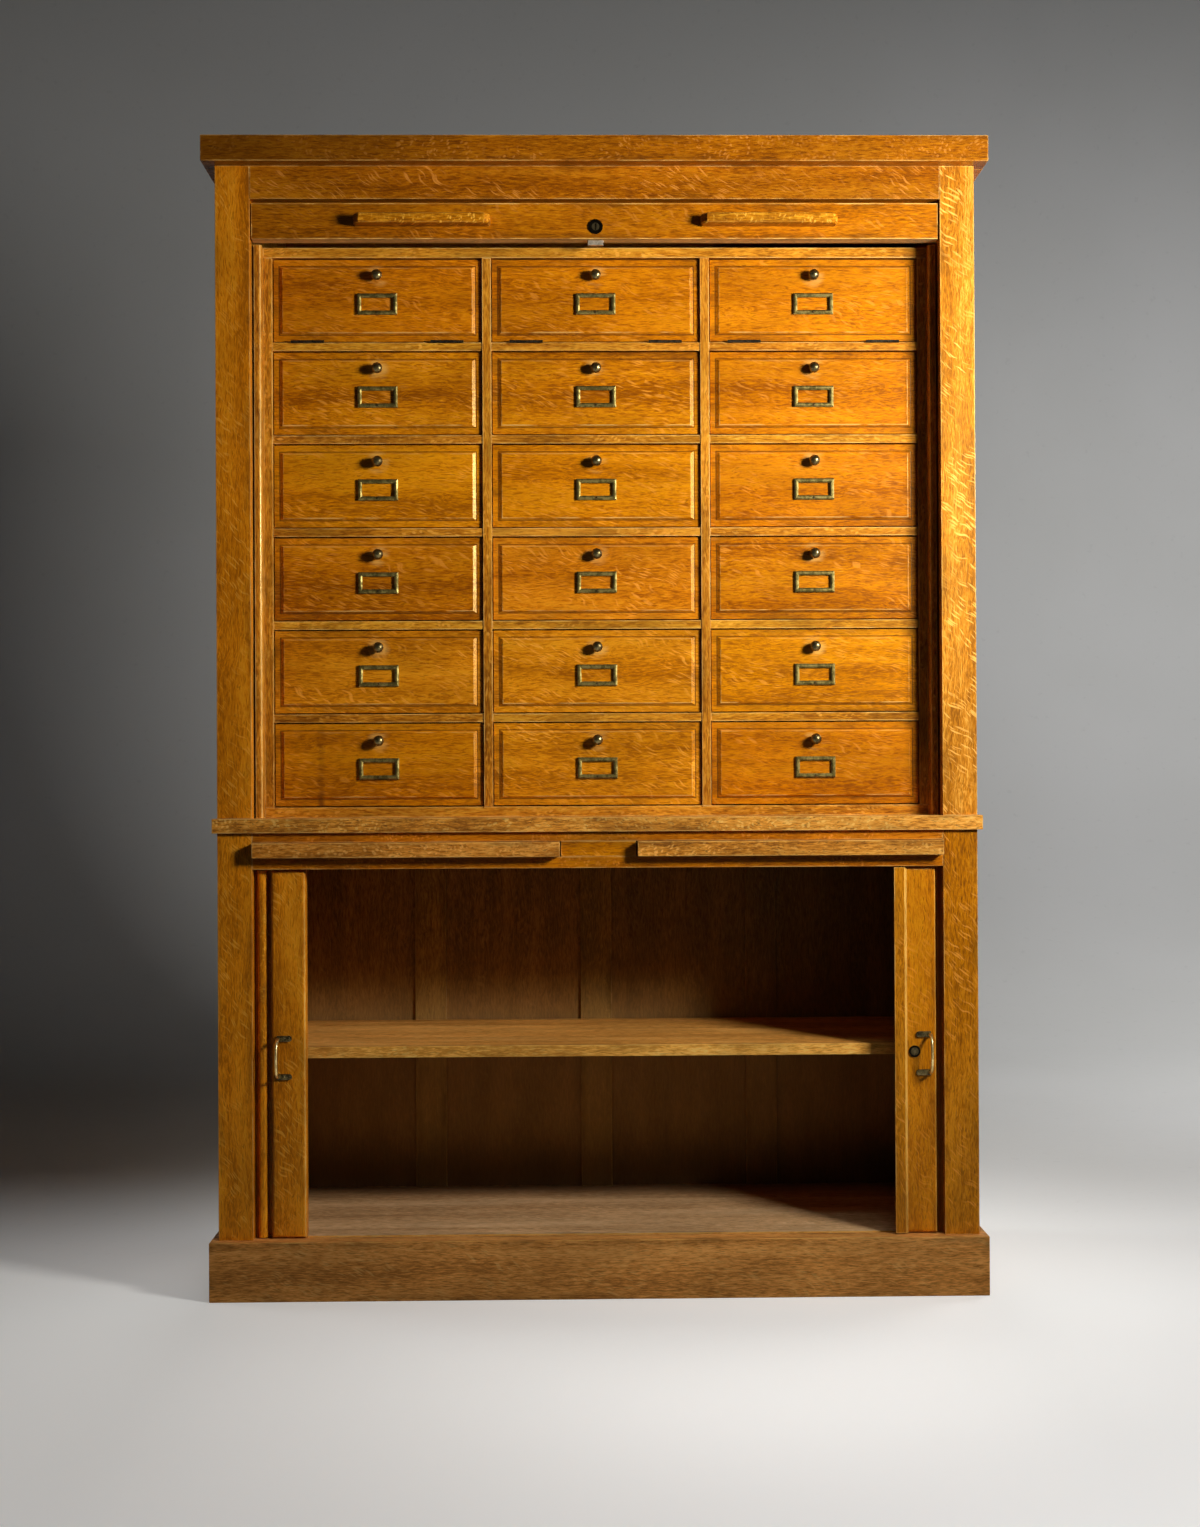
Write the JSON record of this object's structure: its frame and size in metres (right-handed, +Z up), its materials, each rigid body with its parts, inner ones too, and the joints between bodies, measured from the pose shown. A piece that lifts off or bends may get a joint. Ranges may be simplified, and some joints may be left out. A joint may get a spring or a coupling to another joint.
{
  "type": "tambour filing cabinet",
  "caption": "Tall oak filing cabinet: a roll-up tambour shutter over fall-front compartments, sliding tambour doors over a shelved base, pull-out writing slides at the waist.",
  "frame": {"origin": "on the floor under the middle of the cabinet's bounding box", "axes": "+Z up, -Y out of the front, +X to the right of someone who faces the front"},
  "size_m": [1.354, 0.48, 2],
  "materials": {
    "oak": "satin varnish",
    "oak_flaps": "satin varnish",
    "oak_slats": "satin varnish",
    "brass": "aged",
    "lock_metal": "dull nickel"
  },
  "bodies": {
    "carcass": {"side_panels": "oak", "face_stiles": "oak", "face_rails": "oak", "waist_board": "oak", "plinth": "oak", "cornice": "oak", "nest_dividers": "oak", "nest_shelves": "oak", "back_panels": "oak", "lower_shelves": "oak", "inner_linings": "oak", "tambour_tracks": "oak", "drawn_slats": "oak_slats", "stored_slats": "oak_slats", "flap_hinges": "brass"},
    "upper_shutter": {"lift_rail": "oak"},
    "shutter_lock": {"shutter_lock_plug": "lock_metal"},
    "shutter_bolt": {"shutter_lock_bolt": "lock_metal"},
    "left_door": {"left_leading_stile": "oak", "left_pull": "brass"},
    "right_door": {"right_leading_stile": "oak", "right_pull": "brass"},
    "left_slide": {"left_writing_slide": "oak"},
    "right_slide": {"right_writing_slide": "oak"},
    "fall_flap_r1c1": {"flap_r1c1": "oak_flaps", "fittings_r1c1": "brass"},
    "fall_flap_r1c2": {"flap_r1c2": "oak_flaps", "fittings_r1c2": "brass"},
    "fall_flap_r1c3": {"flap_r1c3": "oak_flaps", "fittings_r1c3": "brass"},
    "fall_flap_r2c1": {"flap_r2c1": "oak_flaps", "fittings_r2c1": "brass"},
    "fall_flap_r2c2": {"flap_r2c2": "oak_flaps", "fittings_r2c2": "brass"},
    "fall_flap_r2c3": {"flap_r2c3": "oak_flaps", "fittings_r2c3": "brass"},
    "fall_flap_r3c1": {"flap_r3c1": "oak_flaps", "fittings_r3c1": "brass"},
    "fall_flap_r3c2": {"flap_r3c2": "oak_flaps", "fittings_r3c2": "brass"},
    "fall_flap_r3c3": {"flap_r3c3": "oak_flaps", "fittings_r3c3": "brass"},
    "fall_flap_r4c1": {"flap_r4c1": "oak_flaps", "fittings_r4c1": "brass"},
    "fall_flap_r4c2": {"flap_r4c2": "oak_flaps", "fittings_r4c2": "brass"},
    "fall_flap_r4c3": {"flap_r4c3": "oak_flaps", "fittings_r4c3": "brass"},
    "fall_flap_r5c1": {"flap_r5c1": "oak_flaps", "fittings_r5c1": "brass"},
    "fall_flap_r5c2": {"flap_r5c2": "oak_flaps", "fittings_r5c2": "brass"},
    "fall_flap_r5c3": {"flap_r5c3": "oak_flaps", "fittings_r5c3": "brass"},
    "fall_flap_r6c1": {"flap_r6c1": "oak_flaps", "fittings_r6c1": "brass"},
    "fall_flap_r6c2": {"flap_r6c2": "oak_flaps", "fittings_r6c2": "brass"},
    "fall_flap_r6c3": {"flap_r6c3": "oak_flaps", "fittings_r6c3": "brass"}
  },
  "joints": [
    {"name": "shutter_lift", "type": "slide", "parent": "carcass", "child": "upper_shutter", "axis": [0, 0, 1], "range_m": [-0.999, 0]},
    {"name": "shutter_key_turn", "type": "hinge", "parent": "upper_shutter", "child": "shutter_lock", "pos_m": [0, -0.211, 1.85], "axis": [0, -1, 0], "range_deg": [-90, 0]},
    {"name": "shutter_bolt_throw", "type": "slide", "parent": "upper_shutter", "child": "shutter_bolt", "axis": [0, 0, 1], "range_m": [0, 0.008]},
    {"name": "left_door_run", "type": "slide", "parent": "carcass", "child": "left_door", "axis": [-1, 0, 0], "range_m": [-0.5065, 0]},
    {"name": "right_door_run", "type": "slide", "parent": "carcass", "child": "right_door", "axis": [1, 0, 0], "range_m": [-0.5285, 0]},
    {"name": "left_slide_pull", "type": "slide", "parent": "carcass", "child": "left_slide", "axis": [0, -1, 0], "range_m": [0, 0.3]},
    {"name": "right_slide_pull", "type": "slide", "parent": "carcass", "child": "right_slide", "axis": [0, -1, 0], "range_m": [0, 0.3]},
    {"name": "flap_r1c1_fall", "type": "hinge", "parent": "carcass", "child": "fall_flap_r1c1", "pos_m": [-0.383, -0.1662, 1.662], "axis": [1, 0, 0], "range_deg": [0, 90]},
    {"name": "flap_r1c2_fall", "type": "hinge", "parent": "carcass", "child": "fall_flap_r1c2", "pos_m": [0, -0.1662, 1.662], "axis": [1, 0, 0], "range_deg": [0, 90]},
    {"name": "flap_r1c3_fall", "type": "hinge", "parent": "carcass", "child": "fall_flap_r1c3", "pos_m": [0.383, -0.1662, 1.662], "axis": [1, 0, 0], "range_deg": [0, 90]},
    {"name": "flap_r2c1_fall", "type": "hinge", "parent": "carcass", "child": "fall_flap_r2c1", "pos_m": [-0.383, -0.1563, 1.504], "axis": [1, 0, 0], "range_deg": [0, 90]},
    {"name": "flap_r2c2_fall", "type": "hinge", "parent": "carcass", "child": "fall_flap_r2c2", "pos_m": [0, -0.1563, 1.504], "axis": [1, 0, 0], "range_deg": [0, 90]},
    {"name": "flap_r2c3_fall", "type": "hinge", "parent": "carcass", "child": "fall_flap_r2c3", "pos_m": [0.383, -0.1563, 1.504], "axis": [1, 0, 0], "range_deg": [0, 90]},
    {"name": "flap_r3c1_fall", "type": "hinge", "parent": "carcass", "child": "fall_flap_r3c1", "pos_m": [-0.383, -0.1563, 1.341], "axis": [1, 0, 0], "range_deg": [0, 90]},
    {"name": "flap_r3c2_fall", "type": "hinge", "parent": "carcass", "child": "fall_flap_r3c2", "pos_m": [0, -0.1563, 1.341], "axis": [1, 0, 0], "range_deg": [0, 90]},
    {"name": "flap_r3c3_fall", "type": "hinge", "parent": "carcass", "child": "fall_flap_r3c3", "pos_m": [0.383, -0.1563, 1.341], "axis": [1, 0, 0], "range_deg": [0, 90]},
    {"name": "flap_r4c1_fall", "type": "hinge", "parent": "carcass", "child": "fall_flap_r4c1", "pos_m": [-0.383, -0.1563, 1.178], "axis": [1, 0, 0], "range_deg": [0, 90]},
    {"name": "flap_r4c2_fall", "type": "hinge", "parent": "carcass", "child": "fall_flap_r4c2", "pos_m": [0, -0.1563, 1.178], "axis": [1, 0, 0], "range_deg": [0, 90]},
    {"name": "flap_r4c3_fall", "type": "hinge", "parent": "carcass", "child": "fall_flap_r4c3", "pos_m": [0.383, -0.1563, 1.178], "axis": [1, 0, 0], "range_deg": [0, 90]},
    {"name": "flap_r5c1_fall", "type": "hinge", "parent": "carcass", "child": "fall_flap_r5c1", "pos_m": [-0.383, -0.1563, 1.015], "axis": [1, 0, 0], "range_deg": [0, 90]},
    {"name": "flap_r5c2_fall", "type": "hinge", "parent": "carcass", "child": "fall_flap_r5c2", "pos_m": [0, -0.1563, 1.015], "axis": [1, 0, 0], "range_deg": [0, 90]},
    {"name": "flap_r5c3_fall", "type": "hinge", "parent": "carcass", "child": "fall_flap_r5c3", "pos_m": [0.383, -0.1563, 1.015], "axis": [1, 0, 0], "range_deg": [0, 90]},
    {"name": "flap_r6c1_fall", "type": "hinge", "parent": "carcass", "child": "fall_flap_r6c1", "pos_m": [-0.383, -0.1563, 0.852], "axis": [1, 0, 0], "range_deg": [0, 90]},
    {"name": "flap_r6c2_fall", "type": "hinge", "parent": "carcass", "child": "fall_flap_r6c2", "pos_m": [0, -0.1563, 0.852], "axis": [1, 0, 0], "range_deg": [0, 90]},
    {"name": "flap_r6c3_fall", "type": "hinge", "parent": "carcass", "child": "fall_flap_r6c3", "pos_m": [0.383, -0.1563, 0.852], "axis": [1, 0, 0], "range_deg": [0, 90]}
  ],
  "couplings": [
    {"joint": "shutter_bolt_throw", "follows": "shutter_key_turn", "m_per_rad": -0.005093}
  ]
}
